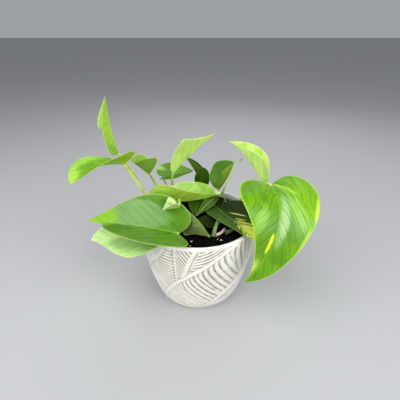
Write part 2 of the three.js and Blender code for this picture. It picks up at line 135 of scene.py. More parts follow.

# Oval patches of another tint on the upper side of a leaf or under it, of the leaf's own colour or, where
# marked,
# of painted shadow, sheen or reflection: mm across and along the midrib, two radii, turn, how ragged and how
# soft the edge is, tint and strength
PATCHES = {
    "leaf_large_right_upper": [
        (0, 52, 30, 18, 90, .8, .5, (70, 124, 6), .6), (17, 42, 17, 5, 80, 1, .5, (158, 206, 84), .45),
        # Painted sheen: the next two pale grey-green patches paint the gloss across the middle of the blade
        (-17, 28, 16, 6, 110, 1, .5, (164, 206, 118), .5), (-5, 36, 22, 4, 88, .6, .5, (178, 210, 146), .6),
        (-12, 7, 13, 1.6, 142, .3, .5, (176, 212, 70), .6),
        (2.6, 60, 9, 1.5, 92, .15, .2, (214, 232, 40), .9),
        (-35.5, 27, 9, 1.7, 69, .3, .4, (206, 230, 74), .9),
        (-26, 50, 10, 1.6, 75, .5, .4, (190, 216, 60), .5), (-25, 20, 18, 12, 80, .7, .6, (136, 192, 36), .5),
        (5, 84, 8, 4, 90, .5, .5, (206, 228, 110), .6)],
    "leaf_front_left_upper": [
        # Painted reflection: the first two patches are the pale grey-green reflection of a bright sky on the
        # far half
        (12, 45, 33, 15, 92, .2, .12, (112, 150, 86), .75), (22, 52, 14, 4, 100, .8, .4, (120, 152, 92), .5),
        (4, 78, 18, 16, 90, .3, .3, (128, 174, 36), .9)],
    "leaf_lower_left_upper": [
        (-10, 4, 18, 18, 90, .6, .5, (110, 152, 56), .8), (-9, 34, 14, 7, 75, 1.6, .4, (96, 146, 54), .5)],
    "leaf_far_left_upper": [
        (6, 50, 12, 12, 90, .3, .5, (166, 212, 72), .85), (14, 30, 18, 5, 90, .3, .5, (160, 206, 84), .6)],
    "leaf_back_left_upper": [(-13, -3, 7, 2.4, 60, .4, .5, (160, 200, 66), .8)],
    "leaf_newest_upper": [(-3, 34, 16, 2.4, 90, .4, .5, (128, 170, 56), .7)],
    "leaf_inner_drooping_upper": [(-12, 12, 12, 7, 90, .3, .5, (58, 70, 26), .8)],
    "leaf_across_upper": [
        (-14, 20, 10, 8, 90, .5, .5, (196, 196, 150), .6), (0, 74, 6, 9, 90, .2, .4, (224, 232, 180), .8)],
    "leaf_front_right_upper": [
        # Painted shadow: the first, nearly black patch darkens the far lobe, which lies in shade
        (-18, 0, 30, 20, 90, .3, .5, (16, 30, 2), .85), (16, 10, 28, 14, 90, .3, .5, (80, 108, 50), .5),
        (-9, 16, 8.5, .9, 120, .2, .3, (196, 210, 104), .9),
        (-3, 43, 15, 6.5, 92, 2.4, .25, (214, 222, 90), .95),
        (0, 56, 11, 8, 90, .5, .4, (214, 230, 100), .9)],
    "leaf_across_under": [
        (14, 8, 16, 20, 90, .3, .5, (160, 200, 72), .8), (10, 40, 16, 8, 90, .5, .5, (120, 152, 36), .5)],
}

# Each leaf as in the solid model, in mm and degrees. A pair is for its left and right half, seen from above
# and from the stalk.
# midrib: its end at the stalk, its middle and its tip
# face: the way that the upper side looks, or a pair for the two ends; straight up where it is left out
# width, share, slim: of the blade, of each half over half of that, and how much of it is gone at the tip
# fold, ease: how far each half is folded up, or a pair for the two ends, and how late that change comes
# curl: how much more the edge turns up
# lift: how far the lobe behind the stalk turns up
# start: the higher it is, the closer to the stalk the rows of the mesh leave the midrib
# wave: how far the edge waves
# look: its look, and after it what it has instead of parts of that look
LEAVES = [
    dict(name="leaf_front_left", midrib=[(-17, -45, 100), (-58, -42, 107.8), (-103, -32, 105)],
         face=((0, -.27, 1), (0, -.2, 1)), width=70, fold=(24, (13, 22)), share=(.86, 1.03),
         outline=("pointed", "heart"), wave=.8, look="mid"),
    dict(name="leaf_lower_left", midrib=[(-34, -38, 98.5), (-66, -38, 93), (-102, -34, 85)], face=(0, -.3, 1),
         width=50, fold=(2, 5), outline=("egg", "blunt_tip"), share=(1, .8), wave=.7, look="pale",
         main=(178, 216, 132), dark=(124, 170, 72), light=(200, 228, 160)),
    dict(name="leaf_large_right", midrib=[(69, -10, 132), (71, -48, 106), (43.5, -57, 54)],
         face=((.2, -.5, .85), (.1, -1, .3)), width=82, fold=8, curl=-10, slim=(.3, .88), share=(.97, 1.04),
         outline=("drawn", "heart"), wave=.7, look="lime"),
    dict(name="leaf_upper_right", midrib=[(67, 12, 122), (51, 14, 147), (31, 18, 166)],
         face=((.77, 0, .65), (.5, 0, .8)), width=38, fold=(65, 58), share=(.88, 1.03), slim=(.6, 0),
         outline="full", wave=.4, look="young", under=(178, 212, 112)),
    dict(name="leaf_front_right", midrib=[(22.4, -2, 98.8), (37.5, -27.5, 99.8), (50, -49, 97)], width=54,
         fold=(9, (-6, 20)), outline=("lobed", "ear"), lift=(0, 14), share=(1.1, 1), start=2, wave=.4,
         look="dark"),
    dict(name="leaf_across", midrib=[(-48, 2, 112), (-14, -4, 111.8), (24, 8, 114)], width=42, fold=(40, 76),
         outline=("broad_tip", "broad_base"), wave=.5, look="olive"),
    dict(name="leaf_inner_drooping", midrib=[(10.5, -36.5, 91), (.3, -29, 104.4), (-16.7, -14, 112.4)],
         face=(.6, 0, .8), width=34, fold=(-80, -74), outline="slanted", share=(1.13, .9), wave=.3,
         look="olive", main=(84, 104, 38), light=(98, 118, 50), dark=(70, 88, 28), under=(84, 104, 38),
         margin=(180, 208, 90), amount=-.2),
    dict(name="leaf_inner_pale", midrib=[(-17.5, -24, 115.5), (-24.5, -28, 116.6), (-32.5, -32, 117.3)],
         width=20, fold=(60, 55), outline="young", share=(1, 1.1), wave=.2, look="pale"),
    dict(name="leaf_newest", midrib=[(-75.8, 4, 158), (-80.2, 5, 184), (-81.5, 6, 211.5)], face=(-1, 0, 0),
         width=16, fold=(80, 78), share=(1.55, 1), outline=("late", "strap"), wave=.2, look="young",
         main=(126, 166, 40), light=(156, 192, 84), under=(130, 168, 46)),
    dict(name="leaf_far_left", midrib=[(-70, 0, 150), (-102, -5, 147), (-119, -12, 133)],
         face=((0, -.1, 1), (-.7, -.5, .2)), width=40, fold=((76, -4), (-16, 12)), ease=.6,
         outline=("hood", "spade"), share=(1, .86), slim=(.45, 0), wave=.4, look="lime", main=(96, 148, 12),
         light=(114, 164, 30)),
    dict(name="leaf_upper_small", midrib=[(-48, 6, 136), (-57, 8, 143), (-67, 12, 149)], face=(.3, 0, .9),
         width=34, fold=(70, 60), outline=("horned", "broad_tip"), share=(1.08, .75), wave=.2, look="olive",
         main=(100, 140, 30), light=(124, 162, 54), under=(100, 140, 28)),
    dict(name="leaf_upper_tall", midrib=[(-24.5, 14, 134.5), (-7, 16, 153.5), (17, 18, 174)],
         face=(-.68, 0, .72), width=34, fold=(70, 75), outline=("young", "angled"), share=(.75, 1), wave=.4,
         look="young", under=(170, 204, 96)),
    dict(name="leaf_back_left", midrib=[(-38.1, 35, 119.9), (-21.9, 37, 122.6), (-5.5, 40, 125.9)],
         face=(0, -.2, 1), width=28, fold=(24, 22), outline=("lobed", "blunt"), share=(1.2, 1), wave=.5,
         look="mid"),
    dict(name="leaf_back_narrow", midrib=[(1.5, 50, 111), (-5.5, 49, 125), (-14, 48, 138)], face=(.7, 0, .5),
         width=20, fold=60, wave=.3, look="dark"),
    dict(name="leaf_back_round", midrib=[(3, 44, 103), (4.5, 43, 116), (5.5, 42, 128.5)], face=(0, -1, 0),
         width=17, fold=10, outline="round", wave=.3, look="dark"),
    dict(name="leaf_back_right", midrib=[(22, 28, 108), (31, 28, 123), (37, 26, 141)], face=(-.9, .1, .4),
         width=48, fold=(62, 78), share=(.9, .42), outline=("round", "toothed"), wave=.5, look="mid"),
    dict(name="leaf_low_middle", midrib=[(5, 10, 106), (-.8, 4.6, 101.2), (-2.2, -5, 95)], face=(0, -.4, .9),
         width=22, fold=(17, 14), wave=.3, look="dark", main=(48, 88, 4), light=(64, 110, 8),
         margin=(170, 190, 130)),
    # Painted shade: this leaf and the next have darker colours than their looks give, for the shade under the
    # leaves above them
    dict(name="leaf_low_pale", midrib=[(18.8, 8.6, 111.2), (9.2, -1, 106.2), (-2.5, -8.1, 96.2)],
         face=(.15, -.75, .6), width=10, fold=(10, 14), outline="lance", wave=.2, look="olive",
         main=(52, 80, 12), light=(72, 102, 24), dark=(44, 70, 10), gloss=.1, under=(70, 98, 24),
         margin=(180, 210, 110), amount=-.2),
    dict(name="leaf_low_dark", midrib=[(18, -16, 92), (8, -15, 93), (-4, -13, 94.3)], face=(0, -.2, 1),
         width=26, fold=5, share=(.5, 1), wave=.3, look="dark", main=(20, 38, 4), light=(32, 54, 8),
         dark=(12, 24, 2), margin=(54, 74, 34)),
]

# Each stem as in the solid model: radius at its start and its end, and path. A petiole carries the leaf of
# its name
STEMS = {
    "petiole_newest": (1.2, .7, [(-34, 4, 88), (-44.5, 4.5, 104), (-54.5, 4.5, 119), (-67, 4, 147),
                                 (-70.3, 4, 154.5), (-74.6, 4, 157.6)]),
    "petiole_far_left": (1.9, 1.5, [(-28, 0, 88), (-42, 0, 104), (-52, 0, 117), (-70, 0, 149)]),
    "petiole_upper_small": (1.4, 1.1, [(-26, 16, 88), (-40, 17, 108), (-45.5, 17, 123), (-47.7, 7.5, 135)]),
    "petiole_upper_tall": (1.3, 1.1, [(-20, 20, 88), (-25, 21, 108), (-27, 19, 122), (-25.2, 14.5, 133.3)]),
    "petiole_back_left": (1.1, .9, [(-22, 26, 88), (-30, 31, 104), (-37, 34, 116)]),
    "petiole_back_narrow": (1.1, .9, [(12, 38, 88), (8, 44, 98), (2.5, 49.5, 109.5)]),
    "petiole_back_round": (1.1, .9, [(2, 36, 88), (2, 40, 96), (2.8, 43.2, 101.8)]),
    "petiole_back_right": (1.5, 1.3, [(17, 22, 88), (19, 26, 98), (21.5, 27.5, 107)]),
    "petiole_across": (1.5, 1.2, [(-24, -4, 88), (-34, -2, 102), (-43, 2, 110)]),
    "petiole_inner_pale": (1.1, .9, [(-15, -7, 88), (-16.5, -8, 104), (-18, -10, 114.6),
                                     (-17.8, -15.5, 119.3), (-17.4, -21.9, 117)]),
    "petiole_inner_drooping": (1.5, 1.2, [(6, -24, 88), (8.5, -29.5, 89.4), (10.3, -34.9, 90.9)]),
    "petiole_front_left": (1.5, 1.2, [(-20, -24, 88), (-21, -33, 93), (-18.5, -43, 99)]),
    "petiole_lower_left": (1.5, 1.2, [(-27, -24, 88), (-31, -31, 93.5), (-33.5, -36.5, 97.5)]),
    "petiole_large_right": (1.9, 1.5, [(36, 22, 88), (50, 22, 105), (61, 8, 125), (68, -8, 132)]),
    "petiole_upper_right": (1.4, 1.1, [(44, 8, 88), (57, 10, 104), (66, 12, 121)]),
    "petiole_front_right": (2, 1.5, [(14.9, -30, 88), (16.3, -27.5, 93), (18.9, -20, 96.2), (21.2, -9, 96.2),
                                     (22.1, -4.4, 97)]),
    "petiole_low_middle": (1.1, .9, [(12, 18, 88), (11, 16, 98), (6.5, 11.5, 105)]),
    "petiole_low_pale": (1.2, .9, [(30, 20, 88), (28, 18, 103), (20.6, 10.6, 110)]),
    "petiole_low_dark": (1.1, .9, [(21, -4, 88), (21.6, -11, 90.4), (19.4, -15, 91.5)]),
    "rolled_leaf": (1.3, .8, [(25, 22, 104), (31, 21.5, 122.5), (44.8, 24, 146)]),
    "vine_lying": (1.8, 1.5, [(27.2, -27.4, 89.8), (30.5, -25.6, 90), (34, -22.4, 89.8)]),
    "cut_stub": (1.3, 1.2, [(18, -30.9, 89.3), (22.7, -27.9, 90), (26.6, -21.8, 91)]),
}
STEM_SKINS = {"petiole_inner_drooping": "vine", "petiole_front_right": "vine", "rolled_leaf": "rolled",
              "vine_lying": "vine", "cut_stub": "stub"}
# How deep the groove along the upper side is, where 1 stands for .8 of the radius
CHANNELS = {"petiole_far_left": .5}
PLAIN_CHANNEL = .22


# Small maths

def unit(v):
    v = np.asarray(v, float)
    return v / np.maximum(np.linalg.norm(v, axis=-1, keepdims=True), 1e-9)


def ramp(x, low, high):
    """Rises smoothly from 0 at low to 1 at high."""
    t = np.clip((x - low) / (high - low), 0, 1)
    return t * t * (3 - 2 * t)


def bell(x, width, power=2):
    return np.exp(-(x / width) ** power)


def spline(points, t):
    """Catmull-Rom curve through the points at each t from 0 to 1."""
    points, t = np.asarray(points, float), np.atleast_1d(np.asarray(t, float))
    n = len(points) - 1
    i = np.clip(np.floor(t * n).astype(int), 0, n - 1)
    w = (t * n - i)[:, None]
    p1, p2 = points[i], points[i + 1]
    p0, p3 = points[np.maximum(i - 1, 0)], points[np.minimum(i + 2, n)]
    v1, v2 = (p2 - p0) / 2, (p3 - p1) / 2
    return (2 * p1 - 2 * p2 + v1 + v2) * w ** 3 + (-3 * p1 + 3 * p2 - 2 * v1 - v2) * w ** 2 + v1 * w + p1


def linear(rgb):
    """Screen colour, 0-255, to the linear colour that Blender takes."""
    return [c / 12.92 if c <= .04045 else ((c + .055) / 1.055) ** 2.4 for c in (v / 255 for v in rgb)] + [1]


# Meshes

def add_object(name, data):
    obj = bpy.data.objects.new(name, data)
    bpy.context.scene.collection.objects.link(obj)
    return obj


def mesh_object(name, vertices, faces, slots=None, uvs=None, attributes=None, sharp=0):
    """An object of one smooth mesh, from mm. Edges over sharp degrees stay sharp, unless that is 0."""
    mesh = bpy.data.meshes.new(name)
    mesh.from_pydata((np.asarray(vertices, float) * MM).tolist(), [], faces)
    loops = np.empty(len(mesh.loops), np.int32)
    mesh.loops.foreach_get("vertex_index", loops)
    for key, values in (uvs or {}).items():
        layer = mesh.uv_layers.new(name=key)
        layer.data.foreach_set("uv", np.asarray(values, np.float32)[loops].ravel())
    for key, values in (attributes or {}).items():
        mesh.attributes.new(key, "FLOAT", "POINT").data.foreach_set("value", np.asarray(values, np.float32))
    if slots is not None:
        mesh.polygons.foreach_set("material_index", np.asarray(slots, np.int32))
    mesh.validate()
    mesh.shade_smooth()
    if sharp:
        mesh.set_sharp_from_angle(angle=math.radians(sharp))
    return add_object(name, mesh)


def ring_faces(rings, columns, centres=True):
    """Faces between closed rings of points. Two more points close the ends, or else one face each does."""
    at = np.arange(rings * columns).reshape(rings, columns)
    nxt = np.roll(at, -1, axis=1)
    faces = np.stack([at[:-1], nxt[:-1], nxt[1:], at[1:]], -1).reshape(-1, 4).tolist()
    if not centres:
        return faces + [at[0][::-1].tolist(), at[-1].tolist()]
    faces += [[at.size, b, a] for a, b in zip(at[0].tolist(), nxt[0].tolist())]
    return faces + [[at.size + 1, a, b] for a, b in zip(at[-1].tolist(), nxt[-1].tolist())]


def record_slot(node):
    return next(part["material_slot"] for part in frame["record"]["subparts"] if part["node"] == node)


def add_piece(obj, slot, *materials, node=None):
    """Finishes a piece, which stands for a CAD node where one is given."""
    for material in materials:
        obj.data.materials.append(material)
    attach(obj, "root")
    if node:
        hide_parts(node)


# Shader nodes

# How far light scatters inside leaves and stems: red, green and blue, times so many metres
SCATTER = dict(Subsurface_Radius=(.6, 1, .2), Subsurface_Scale=.002)


class Shader:
    """A material with a Principled shader, and short calls for the nodes that feed it."""

    def __init__(self, name, roughness=.5, **sockets):
        self.material = bpy.data.materials.new(name)
        self.material.use_nodes = True
        self.nodes = self.material.node_tree.nodes
        self.links = self.material.node_tree.links
        self.out = self.nodes["Principled BSDF"]
        self.out.inputs["Roughness"].default_value = roughness
        for key, value in sockets.items():
            self.out.inputs[key.replace("_", " ")].default_value = value

    def node(self, kind, *inputs, out=0, **settings):
        """Adds a node, plugs its inputs in their order, and returns one of its outputs."""
        n = self.nodes.new(kind)
        for key, value in settings.items():
            setattr(n, key, value)
        for index, value in enumerate(inputs):
            self.plug(value, n.inputs[index])
        return n.outputs[out]

    def plug(self, value, socket):
        """Links another node's output to a socket, or sets it to a number or colour. None leaves it."""
        if value is None:
            return
        if isinstance(value, bpy.types.NodeSocket):
            self.links.new(value, socket)
        else:
            socket.default_value = value

    def math(self, operation, a, b=None, c=None):
        return self.node("ShaderNodeMath", a, b, c, operation=operation)

    def times(self, a, b):
        return self.math("MULTIPLY", a, b)

    def plus(self, a, b):
        return self.math("ADD", a, b)

    def uv(self, name):
        """The outputs x, y and z of a UV map."""
        return self.node("ShaderNodeSeparateXYZ", self.node("ShaderNodeUVMap", uv_map=name)).node.outputs

    def vector(self, x, y, z=0):
        return self.node("ShaderNodeCombineXYZ", x, y, z)

    def position(self):
        return self.node("ShaderNodeTexCoord", out="Object")

    def noise(self, vector, scale, detail=2, rough=.5):
        n = self.nodes.new("ShaderNodeTexNoise")
        for key, value in (("Vector", vector), ("Scale", scale), ("Detail", detail), ("Roughness", rough)):
            self.plug(value, n.inputs[key])
        return n.outputs["Fac"]

    def step(self, value, low, high, start=0.0, end=1.0):
        """Goes smoothly from start, where the value is low or less, to end, where it is high or more."""
        n = self.nodes.new("ShaderNodeMapRange")
        n.interpolation_type = "SMOOTHSTEP"
        self.plug(value, n.inputs["Value"])
        for key, v in (("From Min", low), ("From Max", high), ("To Min", start), ("To Max", end)):
            n.inputs[key].default_value = v
        return n.outputs["Result"]

    def mix(self, factor, a, b):
        """Mixes two colours, given as outputs or screen colours. The names of their sockets repeat."""
        n = self.nodes.new("ShaderNodeMix")
        n.data_type = "RGBA"
        for number, value in ((0, factor), (6, a), (7, b)):
            self.plug(linear(value) if isinstance(value, (tuple, list)) else value, n.inputs[number])
        return n.outputs[2]

    def colour(self, socket):
        self.links.new(socket, self.out.inputs["Base Color"])

    def rough(self, socket):
        self.links.new(socket, self.out.inputs["Roughness"])

    def bump(self, height, distance):
        """Relief from a height of 0 to 1, which stands for so many mm."""
        n = self.nodes.new("ShaderNodeBump")
        n.inputs["Distance"].default_value = distance * MM
        self.links.new(height, n.inputs["Height"])
        self.links.new(n.outputs[0], self.out.inputs["Normal"])


# Leaves

# Side veins, in mm on a grown leaf: the gap between them, how they slant and bow forward, and where along the
# midrib the slant starts, over what length it grows, and its limits
VEIN_GAP, VEIN_SLANT, VEIN_BOW = 12.0, 1.25, .008
SLANT_FROM, SLANT_OVER, SLANT_LIMITS = -8, 30, (-.8, 1)
# Leaves shorter than this have finer veins
GROWN_LEAF = 70
# Over this length in mm, the mesh of each half of a leaf has so many rows and columns
LEAF_GRIDS = [(60, 76, 24), (35, 56, 18), (0, 40, 14)]
HALF_THICKNESS = .26
# The UV map leaf_mm spans so many mm, and starts so many mm behind the stalk
MAP_SIZE, MAP_BACK = 200, 20


def vein_phase(across, along):
    """Rises by one from each side vein to the next; whole numbers lie on a vein."""
    slant = np.clip((along - SLANT_FROM) / SLANT_OVER, *SLANT_LIMITS)
    return (along - VEIN_SLANT * across * slant - VEIN_BOW * across ** 2) / VEIN_GAP


def at_side(value, side):
    """The left or right one of a pair, or the one value for both."""
    return value[side] if isinstance(value, tuple) else value


def leaf_surface(leaf, rows, columns):
    """The leaf's middle surface as a grid of points, with its own mm coordinates and edge fraction."""
    base, mid, tip = np.array(leaf["midrib"], float)
    ctrl = 2 * mid - (base + tip) / 2
    length, half = np.linalg.norm(tip - base), leaf["width"] / 2
    face = np.array(leaf.get("face", (0, 0, 1)), float)
    faces = unit(face if face.ndim > 1 else [face, face])
    t = np.linspace(.004, 1, rows + 1)
    grid = np.zeros((rows + 1, 2 * columns + 1, 3))
    across = np.zeros(grid.shape[:2])
    along = np.zeros(grid.shape[:2])
    edge = np.abs(np.arange(-columns, columns + 1)) / columns
    for side in (0, 1):
        outline = OUTLINES[at_side(leaf.get("outline", "heart"), side)]
        sm, wm = spline([(0, 0), *outline, (1, 0)], t).T
        v = np.linspace(0, 1, columns + 1)[None, :]
        start = t ** leaf.get("start", 1.4)
        s = start[:, None] + (sm - start)[:, None] * v ** 1.2
        taper = at_side(leaf.get("share", 1), side) * (1 - at_side(leaf.get("slim", 0), side) * t * t)
        w = (wm * half * taper)[:, None] * v
        folds = [at_side(at_side(leaf["fold"], side), end) for end in (0, 1)]
        fold = np.radians(folds[0] + (folds[1] - folds[0]) * np.clip(s, 0, 1) ** leaf.get("ease", 1))
        # The fold starts with a small round along the midrib. Summed in small steps, it keeps the width true
        rounding = 1 - np.exp(-np.abs(w) / (.4 + .02 * half))
        slope = fold * rounding + math.radians(leaf.get("curl", 0)) * w / half
        dw = np.diff(w, axis=1, prepend=0)
        middle = (slope + np.roll(slope, 1, axis=1)) / 2
        middle[:, 0] = 0
        out = np.cumsum(np.cos(middle) * dw, axis=1)
        rise = np.cumsum(np.sin(middle) * dw, axis=1)
        sc = np.clip(s, 0, 1)[..., None]
        forward = unit(2 * (1 - sc) * (ctrl - base) + 2 * sc * (tip - ctrl))
        face = faces[0] * (1 - sc) + faces[1] * sc
        side_way = unit(np.cross(forward, face))
        up = np.cross(side_way, forward)
        rib = (1 - sc) ** 2 * base + 2 * sc * (1 - sc) * ctrl + sc ** 2 * tip
        # A lobe behind the stalk carries on straight, turned up by its lift
        lift = math.radians(at_side(leaf.get("lift", 0), side))
        back = np.minimum(s, 0)[..., None] * length
        rib = rib + back * (forward * math.cos(lift) - up * math.sin(lift))
        # Each half of each leaf waves in its own way
        turns = 2.5 * t + (.3 if side else 0) + len(leaf["name"]) * .37
        fade = np.minimum(1, 4 * t) * np.minimum(1, 5 * (1 - t))
        wave = leaf["wave"] * (np.sin(2 * math.pi * turns) * fade)
        rise = rise + wave[:, None] * v ** 2
        p = rib + (1 if side else -1) * out[..., None] * side_way + rise[..., None] * up
        order = slice(columns, None) if side else slice(columns, None, -1)
        grid[:, order] = p
        across[:, order] = w if side else -w
        along[:, order] = s * length
    return grid, across, along, np.broadcast_to(edge, across.shape), t


def grid_normals(grid):
    dt = np.gradient(grid, axis=0)
    dj = np.gradient(grid, axis=1)
    n = np.cross(dj, dt)
    n[-1] = n[-2]
    return unit(n)


def leaf_sides(grid, across, along, edge, t, scale):
    """The upper and lower side of a blade, puffed up between the side veins and ribbed below the midrib."""
    normal, w = grid_normals(grid), np.abs(across)
    phase = vein_phase(w / scale, along / scale)
    inner = ramp(w, .3, 3) * (1 - ramp(edge, .8, 1))
    quilt = (np.abs(np.sin(math.pi * phase)) ** .7 - .6) * .34 * scale * inner
    rib = bell(w, 1.1 * scale + .2) * (1 - .8 * t[:, None])
    fine = np.minimum(1, w.max(axis=1) / 4)[:, None]
    thick = (HALF_THICKNESS - .1 * ramp(edge, .85, 1)) * np.minimum(1, .4 + fine)
    top = grid + normal * (thick + (quilt - .35 * rib * scale) * fine)[..., None]
    low = grid - normal * (thick - (quilt * .8 - rib * scale) * fine)[..., None]
    return top, low


def leaf_faces(rows, wide):
    """Faces of two grids of points and a tip, and for each face 0 on the upper side and 1 elsewhere."""
    low = rows * wide
    tip = 2 * low
    at = np.arange(low).reshape(rows, wide).tolist()
    first, last = at[0], at[-1]
    faces, slots = [], []
    for j in range(wide - 1):
        for near, far in zip(at, at[1:]):
            a, b, c, d = near[j], near[j + 1], far[j + 1], far[j]
            faces += [(a, b, c, d), (a + low, d + low, c + low, b + low)]
            slots += [0, 1]
    for j in range(wide - 1):
        a, b, c, d = last[j], last[j + 1], first[j], first[j + 1]
        faces += [(a, b, tip), (b + low, a + low, tip), (c, c + low, d + low, d)]
        slots += [0, 1, 1]
    for near, far in zip(at, at[1:]):
        a, b, c, d = near[0], far[0], near[-1], far[-1]
        faces += [(a, b, b + low, a + low), (c, c + low, d + low, d)]
        slots += [1, 1]
    a, b = last[0], last[-1]
    faces += [(a, tip, a + low), (b, b + low, tip)]
    slots += [1, 1]
    return faces, slots


def make_leaf(leaf):
    name = leaf["name"]
    base, _, tip = np.array(leaf["midrib"], float)
    length = np.linalg.norm(tip - base)
    rows, columns = next(grid[1:] for grid in LEAF_GRIDS if length > grid[0])
    scale = min(1, length / GROWN_LEAF)
    grid, across, along, edge, t = leaf_surface(leaf, rows, columns)
    top, low = leaf_sides(grid, across, along, edge, t, scale)
    place = np.stack([.5 + across / MAP_SIZE, (along + MAP_BACK) / MAP_SIZE], -1)
    rim = np.stack([edge, np.broadcast_to(t[:, None], edge.shape)], -1)
    # The last row lies all at the tip, and one point stands for it
    top, low, place, rim = (a[:-1].reshape(-1, a.shape[-1]) for a in (top, low, place, rim))
    faces, slots = leaf_faces(rows, 2 * columns + 1)
    uvs = {"leaf_mm": np.concatenate([place, place, [[.5, (length + MAP_BACK) / MAP_SIZE]]]),
           "leaf_edge": np.concatenate([rim, rim, [[0, 1]]])}
    obj = mesh_object(name, np.concatenate([top, low, [tip]]), faces, slots, uvs, sharp=50)
    look = {**PLAIN_LOOK, **LOOKS[leaf["look"]], **leaf}
    seed = 7.3 * LEAVES.index(leaf)
    skins = [leaf_skin(name, look, seed, scale, under) for under in (False, True)]
    add_piece(obj, record_slot(name), *skins, node=name)


def vein_start(m, across, along, scale):
    """As vein_phase, in a shader: the mm along the midrib at which a side vein through this point starts."""
    slant = m.math("DIVIDE", m.math("SUBTRACT", along, SLANT_FROM * scale), SLANT_OVER * scale)
    slant = m.node("ShaderNodeClamp", slant, *SLANT_LIMITS)
    back = m.times(m.times(across, slant), -VEIN_SLANT)
    bow = m.times(m.times(across, across), -VEIN_BOW / scale)
    return m.plus(m.plus(along, back), bow)


def add_patches(m, name, base, flat, ragged):
    """Paints the patches of one side of a leaf over its base colour."""
    for x, y, long, wide, turn, ragging, soft, tint, share in PATCHES.get(name, []):
        spot = m.node("ShaderNodeMapping", flat, (x, y, 0), (0, 0, math.radians(turn)), (long, wide, 1),
                      vector_type="TEXTURE")
        far = m.node("ShaderNodeVectorMath", spot, operation="LENGTH", out="Value")
        far = m.math("MULTIPLY_ADD", ragged, ragging, far)
        base = m.mix(m.step(far, 1 - soft, 1 + soft, share, 0), base, tint)
    return base


def leaf_skin(name, look, seed, scale, under):
    """The finish of one side of a leaf. seed sets its mottling apart from that of the other leaves."""
    name += "_under" if under else "_upper"
    m = Shader(name, Specular_IOR_Level=look["gloss"], Subsurface_Weight=.12, **SCATTER)
    # Places in mm, and noises that follow them
    u, v, _ = m.uv("leaf_mm")
    edge, _, _ = m.uv("leaf_edge")
    off = m.math("SUBTRACT", u, .5)
    across = m.times(m.math("ABSOLUTE", off), MAP_SIZE)
    side = m.times(m.math("SIGN", off), 13)
    along = m.math("MULTIPLY_ADD", v, MAP_SIZE, -MAP_BACK)
    line = vein_start(m, across, along, scale)
    flow = m.vector(line, m.times(across, .16), m.plus(side, seed))
    place = m.vector(m.times(u, MAP_SIZE), along, seed)
    flat = m.vector(m.math("MULTIPLY_ADD", u, MAP_SIZE, -MAP_SIZE / 2), along)
    fibres = m.noise(flow, 1.1, 3, .6)
    blotch = m.noise(place, .06, 3, .6)
    ragged = m.math("MULTIPLY_ADD", m.noise(flow, .5, 3, .6), 1.6, -.8)
    # Side veins, fainter ones half way between them, the midrib and the margin
    wander = m.times(m.noise(place, .035, 1), .9)
    phase = m.plus(m.math("DIVIDE", line, VEIN_GAP * scale), m.math("SUBTRACT", wander, .45))
    vein = m.step(m.math("PINGPONG", phase, .5), 0, .15, 1, 0)
    vein = m.times(vein, m.step(edge, .75, 1, 1, .1))
    half_vein = m.step(m.math("PINGPONG", m.plus(phase, .5), .5), 0, .06, .5, 0)
    rib = m.step(across, .35 * scale, 1.3 * scale, 1, 0)
    margin = m.step(edge, .955, .985)
    # Colour
    if under:
        base = m.mix(m.step(blotch, .35, .65), look["under"], [c * .9 for c in look["under"]])
        base = add_patches(m, name, base, flat, ragged)
        pale = [min(255, c * 1.2) for c in look["under"]]
        base = m.mix(m.times(vein, .25), base, pale)
        base = m.mix(m.times(rib, .7), base, pale)
    else:
        base = m.mix(m.step(blotch, .38, .62), look["main"], look["light"])
        base = m.mix(m.step(fibres, .48, .72, 0, look["fibre"]), base, look["dark"])
        top = .78 - .42 * look["amount"]
        wide = m.step(m.noise(place, .045, 1), .4, .62, .35, 1)
        streak = m.times(m.step(m.noise(flow, .34, 2, .55), top - .08, top + .02), wide)
        base = m.mix(streak, base, look["streak"])
        base = add_patches(m, name, base, flat, ragged)
        veins = m.times(m.plus(vein, half_vein), look["vein"])
        veins = m.times(veins, m.step(m.noise(place, .22, 2), .35, .6, .35, 1))
        base = m.mix(veins, base, look["dark"])
        base = m.mix(m.times(rib, look["rib"]), base, look["margin"])
    m.colour(m.mix(m.times(margin, .75), base, look["margin"]))
    # Relief and gloss
    grain = m.times(m.noise(place, 1.6, 2), .25)
    height = m.plus(m.times(fibres, .35), grain)
    m.bump(m.math("SUBTRACT", height, m.times(vein, -.5 if under else .6)), .16)
    dull = look.get("dull", .17 if under else 0)
    m.rough(m.step(m.noise(place, .5, 2), .3, .7, .27 + dull, .42 + dull))
    return m.material


# Petioles and stems

STEM_SIDES, STEM_STEP = 16, 1.6
# A stem that starts below this height goes on into the soil
IN_SOIL = 90


def sweep(path, radius, channel):
    """A closed tube along a path, swollen at both ends, with a groove so deep along its upper side."""
    path = np.asarray(path, float)
    length = np.linalg.norm(np.diff(path, axis=0), axis=1).sum()
    steps = max(8, int(length / STEM_STEP))
    t = np.linspace(0, 1, steps + 1)
    centre = spline(path, t)
    forward = unit(np.gradient(centre, axis=0))
    upward = np.array([0, -.35, 1]) if abs(forward[:, 2]).mean() < .8 else np.array([0, -1, .35])
    across = unit(np.cross(forward, upward))
    top = np.cross(across, forward)
    r = radius[0] + (radius[1] - radius[0]) * t
    r = r * (1 + .18 * bell((t - 1) * length, 4) + .25 * bell(t * length, 9))
    r[-1] /= 2
    angle = np.linspace(0, 2 * math.pi, STEM_SIDES, endpoint=False)
    ring = 1 - channel * bell(angle - math.pi / 2, .5) * .8
    vertices = centre[:, None] + (r[:, None] * ring * np.cos(angle))[..., None] * across[:, None] \
        + (r[:, None] * ring * np.sin(angle))[..., None] * top[:, None]
    uv = np.stack([np.tile(angle / (2 * math.pi), steps + 1), np.repeat(t, STEM_SIDES)], -1)
    return vertices.reshape(-1, 3), ring_faces(steps + 1, STEM_SIDES, centres=False), uv


